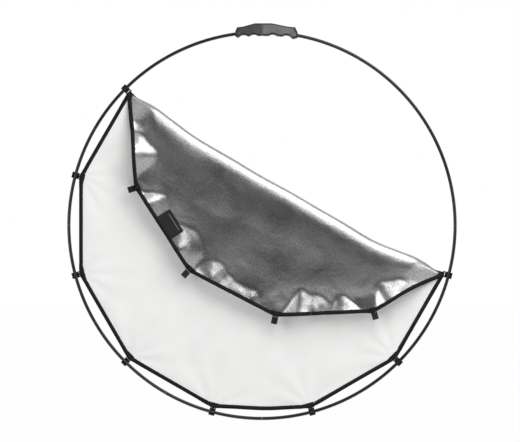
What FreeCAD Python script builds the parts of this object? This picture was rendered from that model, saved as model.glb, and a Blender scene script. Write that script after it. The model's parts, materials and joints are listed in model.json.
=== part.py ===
import FreeCAD, Part
import Sketcher
import math
import os

# Collapsible reflector disc, held upright by its grip.
# Millimetres. X to the right, Y to the rear, Z up. The origin is on the centreline of the
# frame tube, in the middle of the grip, so the centre of the ring is one radius below it.
# Twelve curved tube sections plug into each other on an elastic cord. The twelve-cornered
# cover hooks onto the ring; its upper part is unhooked and folded down over the front.

SIZES = [
    # alias, value, meaning
    ("ring_radius", 406.5, "centreline radius of the frame ring"),
    ("tube_outside", 7.0, "outside diameter of the frame tube"),
    ("tube_wall", 0.8, "wall of the frame tube"),
    ("section_angle", 30, "arc of one tube section, degrees"),
    ("joint_gap", 0.3, "gap between two tube ends"),
    ("ferrule_grip", 18, "length of ferrule glued into a tube end"),
    ("ferrule_clear", 0.05, "radial clearance of the ferrule in its tube"),
    ("nose_length", 3.2, "ferrule nose that enters the next tube"),
    ("nose_step", 0.45, "step from the ferrule down to the root of its nose"),
    ("nose_wall", 0.5, "wall of the nose at its tip"),
    ("cord_diameter", 1.4, "elastic cord"),
    ("cord_clear", 0.1, "radial clearance round the cord"),
    ("nose_root", "=tube_outside / 2 - tube_wall - ferrule_clear - nose_step",
     "radius of the nose at its root"),
    ("nose_tip", "=cord_diameter / 2 + cord_clear + nose_wall", "radius of the nose at its tip"),
    ("cord_start", 4.8, "where a cord stretch starts past a tube joint"),
    ("plug_length", 8, "end plug that anchors the cord"),
    ("plug_recess", 6, "depth of the end plug in its tube end"),
    ("knot_clear", 0.7, "radial clearance of the knot in the tube"),
    ("knot_radius", "=tube_outside / 2 - tube_wall - knot_clear", "knot at the end of the cord"),
    ("grip_depth", 20, "front to rear size of the hard grip core"),
    ("grip_crown", 18, "height of the grip above the tube centreline"),
    ("grip_left", 56, "length of the left half of the grip"),
    ("grip_right", 75, "length of the right half of the grip"),
    ("grip_under", 9.5, "depth of the grip below the tube centreline"),
    ("grip_end_top", 6.0, "top of the grip's outer end above the tube centreline"),
    ("grip_end_under", 5.2, "underside of the grip's outer end below the tube centreline"),
    ("grip_seam", 0.3, "gap between the two halves of the grip"),
    ("grip_round", 2.0, "edge radius of the grip core"),
    ("finger_radius", 14, "radius of a finger groove"),
    ("finger_depth", 3.2, "depth of a finger groove"),
    ("pad_thick", 2.2, "rubber pad on the grip face"),
    ("pad_inset", 3.0, "rim of hard core left round the pad"),
    ("screw_shank", 3.0, "diameter of the screw that pins the tube"),
    ("screw_head", 5.6, "diameter of the screw head"),
    ("screw_head_high", 1.4, "height of the screw head"),
    ("screw_from_end", 9.0, "screw centre from the outer end of the grip"),
    ("cover_inset", 11.8, "corners of the binding centreline inside the ring centreline"),
    ("cover_corner", "=ring_radius - cover_inset", "radius to the corners of the binding"),
    ("cover_plane", 3.0, "middle plane of the cover behind the ring plane"),
    ("cloth_thick", 0.8, "cover cloth"),
    ("cloth_clear", 0.1, "clearance between cloth and binding"),
    ("binding_width", 8.0, "width of the edge binding"),
    ("binding_thick", 2.4, "thickness of the edge binding"),
    ("fold_below", 22, "end of the flat panel below the line between its corners"),
    ("roll_radius", 12.5, "mean radius of the soft fold"),
    ("roll_gap", 0.5, "gap between the fold and the panel"),
    ("flap_rise", 24, "how far the fold draws the flap up"),
    ("flap_skew", 0, "how far the flap lies to the right"),
    ("flap_turn", -2.5, "turn of the flap in its plane, degrees clockwise from the front"),
    ("flap_end_clear", 26, "fold left out next to each end corner"),
    ("patch_reach", 16, "corner patch along the radius"),
    ("patch_width", 25, "corner patch across the radius"),
    ("patch_thick", 0.6, "corner patch"),
    ("tab_width", 8.0, "webbing tab"),
    ("tab_thick", 1.0, "webbing of the tab"),
    ("tab_inset", 28.5, "end of the tab, where it is sewn on, inside the ring centreline"),
    ("tab_inner", "=ring_radius - tab_inset", "radius where the tab is sewn on"),
    ("clip_width", 12.8, "width of a clip"),
    ("clip_reach", 7.2, "clip outside the ring centreline"),
    ("clip_tail", 12.4, "clip inside the ring centreline"),
    ("clip_throat", 4.5, "clip floor inside the ring centreline"),
    ("clip_lip", 3.0, "clip in front of the ring centreline"),
    ("clip_clear", 0.3, "clearance of the clip behind the tube"),
    ("clip_wall_clear", 0.8, "clearance of the clip outside the tube"),
    ("clip_floor", 3.6, "thickness of the clip behind the tube"),
    ("bar_width", 2.0, "bar that the webbing loops round"),
    ("slot_width", 2.8, "slot for the webbing"),
    ("slot_long", 8.8, "length of the slot for the webbing"),
    ("loop_clear", 0.6, "clearance between webbing and clip"),
    ("label_wide", 54, "woven label along the binding"),
    ("label_high", 34, "woven label across the binding"),
    ("label_thick", 0.6, "woven label"),
]

SECTIONS_PER_SIDE = 6
FIRST_CORNER = 15  # degrees from +X to the first clip, then one at each section angle
PANEL_CORNERS = 8
FOLD_STRIPS = 4  # the soft fold is laid up from this many strips along it

doc = FreeCAD.newDocument("reflector_disc")
sheet = doc.addObject("Spreadsheet::Sheet", "Sizes")
for row, (alias, value, meaning) in enumerate(SIZES, start=1):
    sheet.set("A%d" % row, meaning)
    sheet.set("B%d" % row, str(value))
    sheet.setAlias("B%d" % row, alias)
doc.recompute()


def size(alias):
    """A driving dimension, read from the sheet."""
    return float(sheet.get(alias))


def bind(obj, **expressions):
    """Tie properties of an object to cells of the sheet."""
    for name, expression in expressions.items():
        obj.setExpression(name, expression)


ring_radius = size("ring_radius")
section_angle = size("section_angle")
DEGREES_PER_MM = math.degrees(1 / ring_radius)
ring_centre = FreeCAD.Vector(0, 0, -ring_radius)
sub_parts = []


def keep(obj, label):
    """Name a finished sub-part and put it on the list of parts."""
    obj.Label = label
    sub_parts.append(obj)
    return obj


def vector(x, y, z):
    return FreeCAD.Vector(x, y, z)


def turn(axis, degrees):
    return FreeCAD.Rotation(axis, degrees)


AXIS_X = vector(1, 0, 0)
AXIS_Y = vector(0, 1, 0)
AXIS_Z = vector(0, 0, 1)
STAND_UP = turn(AXIS_X, 90)  # lays the XY plane of a primitive into the XZ plane


def on_ring(angle, mirrored=False):
    """Placement that turns a piece made at angle 0 in XY to its angle on the standing ring."""
    upright = STAND_UP.multiply(turn(AXIS_Z, angle))
    if mirrored:
        upright = upright.multiply(turn(AXIS_X, 180))
    return FreeCAD.Placement(ring_centre, upright)


# ---------------------------------------------------------------- frame tube and joints


def torus(name, radius_expression, sweep_expression, start=0.0):
    """Part of a torus on the ring centreline, made in XY from the angle start."""
    piece = doc.addObject("Part::Torus", name)
    bind(piece, Radius1="Sizes.ring_radius", Radius2=radius_expression, Angle3=sweep_expression)
    piece.Placement = FreeCAD.Placement(vector(0, 0, 0), turn(AXIS_Z, start))
    return piece


def cut(name, base, tool):
    result = doc.addObject("Part::Cut", name)
    result.Base = base
    result.Tool = tool
    return result


def fuse(name, pieces):
    result = doc.addObject("Part::MultiFuse", name)
    result.Shapes = pieces
    return result


def common(name, base, tool):
    result = doc.addObject("Part::Common", name)
    result.Base = base
    result.Tool = tool
    return result


def cylinder(name, radius_expression, height_expression, placement):
    piece = doc.addObject("Part::Cylinder", name)
    bind(piece, Radius=radius_expression, Height=height_expression)
    piece.Placement = placement
    return piece


TUBE_BORE = "(Sizes.tube_outside / 2 - Sizes.tube_wall)"
FERRULE = "(Sizes.tube_outside / 2 - Sizes.tube_wall - Sizes.ferrule_clear)"
CORD_HOLE = "(Sizes.cord_diameter / 2 + Sizes.cord_clear)"
PER_MM = "(180 / pi / Sizes.ring_radius)"
half_gap = size("joint_gap") / 2 * DEGREES_PER_MM


def tube_section(label, placement):
    """One curved tube, made from angle 0 to one section angle, less its end gaps."""
    sweep = "Sizes.section_angle - Sizes.joint_gap * %s" % PER_MM
    outside = torus(label + "_outside", "Sizes.tube_outside / 2", sweep, half_gap)
    bore = torus(label + "_bore", TUBE_BORE, "Sizes.section_angle + 2", -1.0)
    tube = cut(label, outside, bore)
    tube.Placement = placement
    return keep(tube, label)


def ferrule(label, placement):
    """Curved spigot glued behind angle 0, with a short bullet nose past it."""
    grip = size("ferrule_grip") * DEGREES_PER_MM
    shank = torus(label + "_shank", FERRULE, "Sizes.ferrule_grip * %s" % PER_MM, -grip)
    nose = doc.addObject("Part::Cone", label + "_nose")
    bind(nose, Radius1="Sizes.nose_root", Radius2="Sizes.nose_tip", Height="Sizes.nose_length")
    nose.Placement = FreeCAD.Placement(vector(ring_radius, 0, 0), turn(AXIS_X, -90))
    nose.setExpression("Placement.Base.x", "Sizes.ring_radius")
    hole = torus(label + "_hole", CORD_HOLE, "Sizes.ferrule_grip * %s + 3" % PER_MM, -grip - 1)
    body = cut(label, fuse(label + "_solid", [shank, nose]), hole)
    body.Placement = placement
    return keep(body, label)


def flush_ferrule(label, placement):
    """Liner glued flush into the last tube end, where the ring opens; it leads the cord."""
    grip = size("ferrule_grip") * DEGREES_PER_MM
    shank = torus(label + "_shank", FERRULE, "(Sizes.ferrule_grip - Sizes.joint_gap) * %s" % PER_MM, -grip)
    hole = torus(label + "_hole", CORD_HOLE, "Sizes.ferrule_grip * %s + 2" % PER_MM, -grip - 1)
    liner = cut(label, shank, hole)
    liner.Placement = placement
    return keep(liner, label)


def cord_stretch(label, placement, start, end_expression):
    """Elastic cord inside one section, from start to the end angle."""
    sweep = "%s - %r" % (end_expression, start)
    cord = torus(label, "Sizes.cord_diameter / 2", sweep, start)
    cord.Placement = placement.multiply(cord.Placement)
    return keep(cord, label)


def knotted_cord(label, placement, knot_angle, start, end_expression):
    """Cord stretch with a knot outside the end plug."""
    cord = torus(label + "_run", "Sizes.cord_diameter / 2", "%s - %r" % (end_expression, start), start)
    knot = doc.addObject("Part::Sphere", label + "_knot")
    bind(knot, Radius="Sizes.knot_radius")
    angle = math.radians(knot_angle)
    knot.Placement.Base = vector(ring_radius * math.cos(angle), ring_radius * math.sin(angle), 0)
    whole = fuse(label, [cord, knot])
    whole.Placement = placement
    return keep(whole, label)


def end_plug(label, placement, start):
    """Plug glued into a tube end, with a hole for the cord; the knot bears on it."""
    body = torus(label + "_body", FERRULE, "Sizes.plug_length * %s" % PER_MM, start)
    hole = torus(label + "_hole", CORD_HOLE, "Sizes.plug_length * %s + 2" % PER_MM, start - 1)
    plug = cut(label, body, hole)
    plug.Placement = placement
    return keep(plug, label)


cord_start = size("cord_start") * DEGREES_PER_MM
cord_past_joint = "Sizes.section_angle + Sizes.nose_length * %s" % PER_MM
plug_start = size("plug_recess") * DEGREES_PER_MM
knot_angle = plug_start - (size("knot_radius") + 0.2) * DEGREES_PER_MM
end_plug_start = section_angle - plug_start - size("plug_length") * DEGREES_PER_MM

for side in ("left", "right"):
    mirrored = side == "right"
    for number in range(SECTIONS_PER_SIDE):
        index = number + 1
        step = number * section_angle
        begin = 90 - step if mirrored else 90 + step
        place = on_ring(begin, mirrored)
        section = tube_section("tube_%s_%d" % (side, index), place)
        cord_label = "cord_%s_%d" % (side, index)
        joint_at = begin - section_angle if mirrored else begin + section_angle
        make_ferrule = ferrule if index < SECTIONS_PER_SIDE else flush_ferrule
        make_ferrule("ferrule_%s_%d" % (side, index), on_ring(joint_at, mirrored))
        if index == 1:
            knotted_cord(cord_label, place, knot_angle, knot_angle, cord_past_joint)
            end_plug("cord_plug_%s" % side, place, plug_start)
        elif index < SECTIONS_PER_SIDE:
            cord_stretch(cord_label, place, cord_start, cord_past_joint)
        else:
            cord_stretch(cord_label, place, cord_start, "Sizes.section_angle - 0.05")

# ---------------------------------------------------------------- grip


def outline_sketch(body, name, plane_role, corners):
    """Closed outline on an origin plane; each corner is a pair of sheet expressions."""
    sketch = body.newObject("Sketcher::SketchObject", name)
    plane = [item for item in body.Origin.OriginFeatures if item.Role == plane_role][0]
    sketch.AttachmentSupport = (plane, [""])
    sketch.MapMode = "FlatFace"
    count = len(corners)
    spots = []
    for index in range(count):
        angle = 2 * math.pi * index / count
        spots.append(vector(20 * math.cos(angle), 20 * math.sin(angle), 0))
    for index in range(count):
        sketch.addGeometry(Part.LineSegment(spots[index], spots[(index + 1) % count]), False)
    for index in range(count):
        sketch.addConstraint(Sketcher.Constraint("Coincident", index, 2, (index + 1) % count, 1))
    for index, corner in enumerate(corners):
        for kind, expression, start in zip(("DistanceX", "DistanceY"), corner, spots[index]):
            number = sketch.addConstraint(Sketcher.Constraint(kind, index, 1, start))
            sketch.setExpression("Constraints[%d]" % number, expression)
    return sketch


def pad_body(label, plane_role, corners, thickness_expression):
    """A body: one outline padded evenly to both sides of an origin plane."""
    body = doc.addObject("PartDesign::Body", label)
    sketch = outline_sketch(body, label + "_outline", plane_role, corners)
    pad = body.newObject("PartDesign::Pad", label + "_pad")
    pad.Profile = sketch
    pad.SideType = 1
    pad.Midplane = True
    pad.setExpression("Length", thickness_expression)
    doc.recompute()
    return body


def grip_corners(sign, inset):
    """Outline of one grip half in XZ: humped on top, following the ring at its end."""
    long = "Sizes.grip_left" if sign < 0 else "Sizes.grip_right"
    mark = "-" if sign < 0 else ""
    drop = "(Sizes.ring_radius - sqrt(Sizes.ring_radius ^ 2 - %s ^ 2))" % long
    edge = "Sizes.pad_inset" if inset else "0"
    seam = "Sizes.grip_seam / 2 + %s * 0.6" % edge
    points = [
        (seam, "-Sizes.grip_under * 0.8 + %s" % edge),
        (seam, "Sizes.grip_crown - %s" % edge),
        ("%s * 0.27" % long, "Sizes.grip_crown - %s" % edge),
        ("%s * 0.74" % long, "Sizes.grip_crown * 0.6 - %s" % edge),
        ("%s * 0.93 - %s" % (long, edge), "Sizes.grip_crown * 0.54 - %s" % edge),
        ("%s - %s" % (long, edge), "Sizes.grip_end_top - %s - %s" % (drop, edge)),
        ("%s - %s" % (long, edge), "%s - Sizes.grip_end_under - %s" % (edge, drop)),
        ("%s * 0.88" % long, "%s - Sizes.grip_under - %s * 0.7" % (edge, drop)),
        ("%s * 0.5" % long, "%s - Sizes.grip_under * 0.92" % edge),
    ]
    return [("%s(%s)" % (mark, across), up) for across, up in points]


def finger_cutters(label, sign, extra):
    """Cylinders across the grip that leave two finger grooves in its underside."""
    long = size("grip_left") if sign < 0 else size("grip_right")
    radius = size("finger_radius")
    cutters = []
    for number, share in enumerate((0.3, 0.68)):
        along = long * share
        under = -size("grip_under") * 0.88
        if share > 0.5:
            under -= 0.5 * (ring_radius - math.sqrt(ring_radius ** 2 - along ** 2))
        centre = vector(sign * along, size("grip_depth"), under - radius + size("finger_depth") + extra)
        place = FreeCAD.Placement(centre, turn(AXIS_X, 90))
        cutters.append(cylinder("%s_finger_%d" % (label, number), "Sizes.finger_radius",
                                "2 * Sizes.grip_depth", place))
    return cutters


def screw_place(sign, depth):
    """Where the screw of one grip half stands, at a given depth, pointing to the rear."""
    end = size("grip_left") if sign < 0 else size("grip_right")
    across = end - size("screw_from_end")
    height = math.sqrt(ring_radius ** 2 - across ** 2) - ring_radius
    return FreeCAD.Placement(vector(sign * across, depth, height), turn(AXIS_X, -90))


def tube_passage(label):
    """The way for the tube through the grip, with running clearance."""
    passage = torus(label, "Sizes.tube_outside / 2 + Sizes.ferrule_clear", "60", 60)
    passage.Placement = FreeCAD.Placement(ring_centre, STAND_UP.multiply(turn(AXIS_Z, 60)))
    return passage


face = size("grip_depth") / 2
for side, sign in (("left", -1), ("right", 1)):
    core = pad_body("grip_core_%s_block" % side, "XZ_Plane", grip_corners(sign, False),
                    "Sizes.grip_depth")
    rims = ["Edge%d" % (number + 1) for number, edge in enumerate(core.Shape.Edges)
            if abs(abs(edge.CenterOfMass.y) - face) < 0.01 and abs(edge.CenterOfMass.x) > 2]
    padded = core.Tip
    bevel = core.newObject("PartDesign::Chamfer", "grip_core_%s_bevel" % side)
    bevel.Base = (padded, rims)
    bind(bevel, Size="Sizes.grip_round")
    doc.recompute()
    body_label = "grip_core_%s" % side
    tools = finger_cutters(body_label, sign, 0) + [tube_passage(body_label + "_passage")]
    tools.append(cylinder(body_label + "_screw_hole", "Sizes.screw_shank / 2 + Sizes.ferrule_clear",
                          "Sizes.grip_depth / 2", screw_place(sign, -face - 1)))
    core_cut = cut(body_label, core, fuse(body_label + "_cutters", tools))
    keep(core_cut, body_label)
    for where, depth in (("front", -1), ("rear", 1)):
        pad_label = "grip_pad_%s_%s" % (where, side)
        block = pad_body(pad_label + "_block", "XZ_Plane", grip_corners(sign, True), "Sizes.pad_thick")
        block.Placement.Base = vector(0, depth * (face + size("pad_thick") / 2), 0)
        cutters = finger_cutters(pad_label, sign, size("pad_inset"))
        if where == "front":
            cutters.append(cylinder(pad_label + "_screw_well",
                                    "Sizes.screw_head / 2 + Sizes.cloth_clear", "Sizes.grip_depth",
                                    screw_place(sign, -2 * face)))
        keep(cut(pad_label, block, fuse(pad_label + "_cutters", cutters)), pad_label)
    screw_label = "grip_screw_%s" % side
    shank = cylinder(screw_label + "_shank", "Sizes.screw_shank / 2",
                     "Sizes.grip_depth / 2 - Sizes.tube_outside / 2 - Sizes.cloth_clear",
                     screw_place(sign, -face))
    head = cylinder(screw_label + "_head", "Sizes.screw_head / 2", "Sizes.screw_head_high",
                    screw_place(sign, -face - size("screw_head_high")))
    keep(fuse(screw_label, [head, shank]), screw_label)

# ---------------------------------------------------------------- cover, on the ring

cover_plane = size("cover_plane")
cover_corner = size("cover_corner")
CORNER = "1 / cos(Sizes.section_angle / 2)"
HALF_BINDING = "Sizes.binding_width / 2 * %s" % CORNER
fold_normal = FIRST_CORNER + section_angle * 1.5  # the middle of the four unhooked corners
chord_distance = cover_corner * math.cos(math.radians(2.5 * section_angle))


def cover_prism(name, radius_expression, thickness_expression):
    """Prism with a corner at each clip, centred on its own XY plane and ring centre."""
    outline = doc.addObject("Part::RegularPolygon", name + "_polygon")
    bind(outline, Polygon="360 / Sizes.section_angle", Circumradius=radius_expression)
    outline.Placement.Rotation = turn(AXIS_Z, FIRST_CORNER)
    prism = doc.addObject("Part::Extrusion", name)
    prism.Base = outline
    prism.DirMode = "Custom"
    prism.Dir = AXIS_Z
    prism.Solid = True
    prism.Symmetric = True
    prism.setExpression("LengthFwd", thickness_expression)
    return prism


def in_fold_frame(along, off):
    """Point of the ring plane, from a distance along the fold and one off it."""
    around = turn(AXIS_Y, 90 - fold_normal)
    return ring_centre + around.multVec(vector(along, 0, off))


def fold_zone(name, low, high, reach):
    """Deep box between two distances from the ring centre along the fold normal."""
    piece = doc.addObject("Part::Box", name)
    piece.Length = 2 * reach
    piece.Width = 2 * ZONE_DEPTH
    piece.Height = high - low
    corner = in_fold_frame(-reach, low) - vector(0, ZONE_DEPTH, 0)
    piece.Placement = FreeCAD.Placement(corner, turn(AXIS_Y, 90 - fold_normal))
    return piece


def cover_blanks(label, place):
    """Twelve-cornered sheet of cloth and the tape folded round its edge, put in place."""
    slot = "Sizes.cloth_thick + 2 * Sizes.cloth_clear"
    edge = "Sizes.cover_corner + Sizes.binding_width * 0.3"
    cloth = cover_prism(label + "_sheet", edge, "Sizes.cloth_thick")
    outer = cover_prism(label + "_outer", "Sizes.cover_corner + %s" % HALF_BINDING,
                        "Sizes.binding_thick")
    inner = cover_prism(label + "_inner", "Sizes.cover_corner - %s" % HALF_BINDING,
                        "Sizes.binding_thick + 2")
    gap = cover_prism(label + "_slot", edge + " + Sizes.cloth_clear", slot)
    tape = cut(label + "_tape", outer, fuse(label + "_hollow", [inner, gap]))
    cloth.Placement = place
    tape.Placement = place
    return cloth, tape


def corner_patches(label, angles, place, depth):
    """Flat reinforcement in each corner, inside the binding, on one face of the cloth."""
    zones = []
    for angle in angles:
        zone = doc.addObject("Part::Box", "%s_zone_%d" % (label, angle))
        bind(zone, Length="2 * Sizes.patch_reach", Width="Sizes.patch_width", Height="Sizes.patch_thick")
        around = turn(AXIS_Z, angle)
        inner = cover_corner - size("binding_width") / 2 - size("patch_reach")
        corner = around.multVec(vector(inner, -size("patch_width") / 2, depth))
        zone.Placement = FreeCAD.Placement(corner, around)
        zones.append(zone)
    inside = cover_prism(label + "_inside", "Sizes.cover_corner - %s" % HALF_BINDING, "20")
    group = doc.addObject("Part::Compound", label + "_zones")
    group.Links = zones
    patches = common(label, group, inside)
    patches.Placement = place
    return keep(patches, label)


def corner_place(cover_place, angle):
    """Frame at a corner of the cover: X outwards, Z to the front, origin in the ring tube."""
    return cover_place.multiply(FreeCAD.Placement(vector(0, 0, cover_plane), turn(AXIS_Z, angle))).multiply(
        FreeCAD.Placement(vector(ring_radius, 0, 0), FreeCAD.Rotation()))


TUBE_CLEAR = "(Sizes.tube_outside / 2 + Sizes.clip_clear)"
WALL_CLEAR = "(Sizes.tube_outside / 2 + Sizes.clip_wall_clear)"
TAIL_FRONT = ("(Sizes.cover_plane + Sizes.binding_thick / 2 + Sizes.cloth_clear + Sizes.tab_thick"
              " + Sizes.loop_clear)")
CLIP_BACK = "(%s + Sizes.clip_floor)" % TUBE_CLEAR


def clip(label, place):
    """Moulded hook: a floor behind the tube, a wall outside it, and a bar for the webbing."""
    corners = [
        ("-Sizes.clip_tail", "-" + TAIL_FRONT),
        ("-Sizes.clip_throat", "-" + TAIL_FRONT),
        ("-Sizes.clip_throat", "-" + TUBE_CLEAR),
        (WALL_CLEAR, "-" + TUBE_CLEAR),
        (WALL_CLEAR, "Sizes.clip_lip"),
        ("Sizes.clip_reach", "Sizes.clip_lip"),
        ("Sizes.clip_reach", "-" + CLIP_BACK),
        ("-Sizes.clip_tail", "-" + CLIP_BACK),
    ]
    block = pad_body(label + "_block", "XZ_Plane", corners, "Sizes.clip_width")
    slot = doc.addObject("Part::Box", label + "_slot")
    bind(slot, Length="Sizes.slot_width", Width="Sizes.slot_long", Height="20")
    slot.Placement.Base = vector(size("bar_width") - size("clip_tail"), -size("slot_long") / 2, -15)
    piece = cut(label, block, slot)
    piece.Placement = place
    return piece


def tab(label, place):
    """Webbing sewn behind a corner and looped round the bar of its clip."""
    front = (cover_plane + size("binding_thick") / 2 + size("cloth_clear"))
    tube_clear = size("tube_outside") / 2 + size("clip_clear")
    rear = tube_clear + size("clip_floor") + size("loop_clear") + size("tab_thick")
    inner = size("tab_inner") - ring_radius
    outer = size("bar_width") - size("clip_tail") + size("loop_clear") + size("tab_thick")
    thick = size("tab_thick")
    web = doc.addObject("Part::Box", label + "_web")
    web.Length = outer - inner
    web.Height = rear - front
    bind(web, Width="Sizes.tab_width")
    web.Placement.Base = vector(inner, -size("tab_width") / 2, -rear)
    hollow = doc.addObject("Part::Box", label + "_hollow")
    hollow.Length = outer - inner - 2 * thick
    hollow.Height = rear - front - 2 * thick
    bind(hollow, Width="Sizes.tab_width + 2")
    hollow.Placement.Base = vector(inner + thick, -size("tab_width") / 2 - 1, -rear + thick)
    piece = cut(label, web, hollow)
    piece.Placement = place
    return piece


def group(label, pieces):
    """Identical pieces that move together, kept as separate solids in one node."""
    result = doc.addObject("Part::Compound", label)
    result.Links = pieces
    return keep(result, label)


ZONE_DEPTH = 100
far = cover_corner * 1.1
panel_end = chord_distance - size("fold_below")
standing = FreeCAD.Placement(ring_centre + vector(0, cover_plane, 0), STAND_UP)
hooked = [FIRST_CORNER + section_angle * (4 + index) for index in range(PANEL_CORNERS)]
free = [FIRST_CORNER + section_angle * (3 - index) for index in range(4)]
cloth_front = size("cloth_thick") / 2

half_fold = cover_corner * math.sin(math.radians(2.5 * section_angle))
fold_reach = half_fold - size("flap_end_clear")


def panel_zone(label):
    """All below the soft fold, and the two end corners up to the line between them."""
    below = fold_zone(label + "_below", -far, panel_end, far)
    top = chord_distance + size("binding_width")
    ears = fold_zone(label + "_ears", panel_end - 1, top, far)
    between = fold_zone(label + "_between", panel_end - 2, top + 1, fold_reach + 1)
    return fuse(label, [below, cut(label + "_ends", ears, between)])


sheet_blank, tape_blank = cover_blanks("panel", standing)
keep(common("panel_cloth", sheet_blank, panel_zone("panel_cloth_zone")), "panel_cloth")
keep(common("panel_binding", tape_blank, panel_zone("panel_binding_zone")), "panel_binding")
corner_patches("panel_patches", hooked[1:-1], standing, cloth_front)
group("panel_tabs", [tab("panel_tab_%d" % angle, corner_place(standing, angle)) for angle in hooked])
group("clips_hooked", [clip("clip_%d" % angle, corner_place(standing, angle)) for angle in hooked])

# ---------------------------------------------------------------- flap, folded to the front

roll_radius = size("roll_radius")
roll_outside = roll_radius + size("cloth_thick") / 2
roll_centre_y = cover_plane - size("cloth_thick") / 2 - size("roll_gap") - roll_outside
flap_plane = roll_centre_y - roll_radius
fold_turn = turn(AXIS_Y, 90 - fold_normal)


def flap_placement():
    """Turns the flap over about the fold, then draws it up, to the right and round."""
    over = turn(fold_turn.multVec(AXIS_X), 180)
    round_about = turn(AXIS_Y, size("flap_turn"))
    moved = in_fold_frame(size("flap_skew"), 2 * chord_distance + size("flap_rise"))
    return FreeCAD.Placement(moved + vector(0, flap_plane, 0),
                             round_about.multiply(over).multiply(STAND_UP))


def fold_roll(label):
    """Half pipe along the fold that joins the panel to the flap, as strips side by side."""
    thick = "Sizes.cloth_thick / 2"
    long = "2 * (Sizes.cover_corner * sin(2.5 * Sizes.section_angle) - Sizes.flap_end_clear)"
    strip_angle = 180 / FOLD_STRIPS
    # the pipe's axis lies along the fold, and its own +Y along the fold normal
    lying = fold_turn.multiply(turn(AXIS_X, 90)).multiply(turn(AXIS_Y, 90))
    start = in_fold_frame(-fold_reach, panel_end) + vector(0, roll_centre_y, 0)
    strips = []
    for number in range(FOLD_STRIPS):
        name = "%s_%d" % (label, number + 1)
        outer = cylinder(name + "_outer", "Sizes.roll_radius + " + thick, long, FreeCAD.Placement())
        outer.Angle = strip_angle
        inner = cylinder(name + "_inner", "Sizes.roll_radius - " + thick, long + " + 20",
                         FreeCAD.Placement(vector(0, 0, -10), FreeCAD.Rotation()))
        strip = cut(name, outer, inner)
        around = turn(AXIS_Z, number * strip_angle)
        strip.Placement = FreeCAD.Placement(start, lying.multiply(around))
        strips.append(strip)
    return strips


flap_place = flap_placement()
flap_sheet, flap_tape = cover_blanks("flap", flap_place)
flap_zone = fold_zone("flap_cloth_zone", -far, panel_end, far)
flap_flat = common("flap_flat", flap_sheet, flap_zone)
group("flap_cloth", [flap_flat] + fold_roll("fold_roll"))
tape_zone = fold_zone("flap_binding_zone", -far, panel_end - 1, far)
keep(common("flap_binding", flap_tape, tape_zone), "flap_binding")
corner_patches("flap_patches", free, flap_place, -cloth_front - size("patch_thick"))
group("flap_tabs", [tab("flap_tab_%d" % angle, corner_place(flap_place, angle)) for angle in free])
for number, angle in enumerate(free, start=1):
    keep(clip("free_clip_%d" % number, corner_place(flap_place, angle)), "free_clip_%d" % number)

label_box = doc.addObject("Part::Box", "woven_label")
bind(label_box, Length="Sizes.label_high", Width="Sizes.label_wide", Height="Sizes.label_thick")
label_edge = cover_corner * math.cos(math.radians(section_angle / 2))
label_corner = vector(label_edge - size("label_high"), -size("label_wide") / 2,
                      -size("binding_thick") / 2 - size("label_thick"))
label_box.Placement = flap_place.multiply(FreeCAD.Placement(vector(0, 0, 0), turn(AXIS_Z, 90))).multiply(
    FreeCAD.Placement(label_corner, FreeCAD.Rotation()))
keep(label_box, "woven_label")

# ---------------------------------------------------------------- check and export

doc.recompute()
for obj in doc.Objects:
    if "Invalid" in obj.State or "Error" in obj.State:
        raise RuntimeError("%s did not build: %s" % (obj.Label, obj.State))
os.makedirs("parts", exist_ok=True)
for obj in sub_parts:
    shape = obj.Shape
    if shape.isNull() or not shape.isValid() or not shape.Solids:
        raise RuntimeError("%s has no valid solid" % obj.Label)
    shape.exportStep("parts/%s.step" % obj.Label)
    print("%-22s %2d solids %12.1f mm3" % (obj.Label, len(shape.Solids), shape.Volume))
print(len(sub_parts), "sub-parts")
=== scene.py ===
import bpy
import bmesh
import json
import math
from mathutils import Matrix, Vector, noise


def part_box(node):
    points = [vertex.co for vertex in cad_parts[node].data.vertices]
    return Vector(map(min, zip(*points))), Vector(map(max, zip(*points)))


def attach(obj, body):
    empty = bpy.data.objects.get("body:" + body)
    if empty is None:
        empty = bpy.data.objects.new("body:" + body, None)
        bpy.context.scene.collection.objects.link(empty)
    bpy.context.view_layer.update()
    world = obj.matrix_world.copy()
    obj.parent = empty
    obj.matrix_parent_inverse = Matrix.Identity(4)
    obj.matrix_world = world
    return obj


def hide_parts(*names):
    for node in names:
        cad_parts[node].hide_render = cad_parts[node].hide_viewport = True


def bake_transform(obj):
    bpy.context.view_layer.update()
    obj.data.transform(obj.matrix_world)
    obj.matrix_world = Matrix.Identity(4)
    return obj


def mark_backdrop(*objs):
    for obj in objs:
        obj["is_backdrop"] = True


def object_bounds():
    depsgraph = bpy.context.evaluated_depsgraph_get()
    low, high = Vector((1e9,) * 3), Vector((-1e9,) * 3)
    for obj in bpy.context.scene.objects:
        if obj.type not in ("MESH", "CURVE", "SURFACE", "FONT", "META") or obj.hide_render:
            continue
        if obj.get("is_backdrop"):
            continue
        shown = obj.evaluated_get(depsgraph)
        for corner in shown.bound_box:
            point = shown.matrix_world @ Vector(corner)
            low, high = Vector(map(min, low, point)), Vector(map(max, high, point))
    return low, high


bl_info = {
    "name": "Collapsible reflector disc",
    "version": (1, 0, 0),
    "blender": (4, 5, 0),
    "location": "View3D > Sidebar > Reflector",
    "description": "Dresses the frame of a collapsible reflector: cover, tapes, label, finishes",
    "category": "Object",
}

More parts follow.
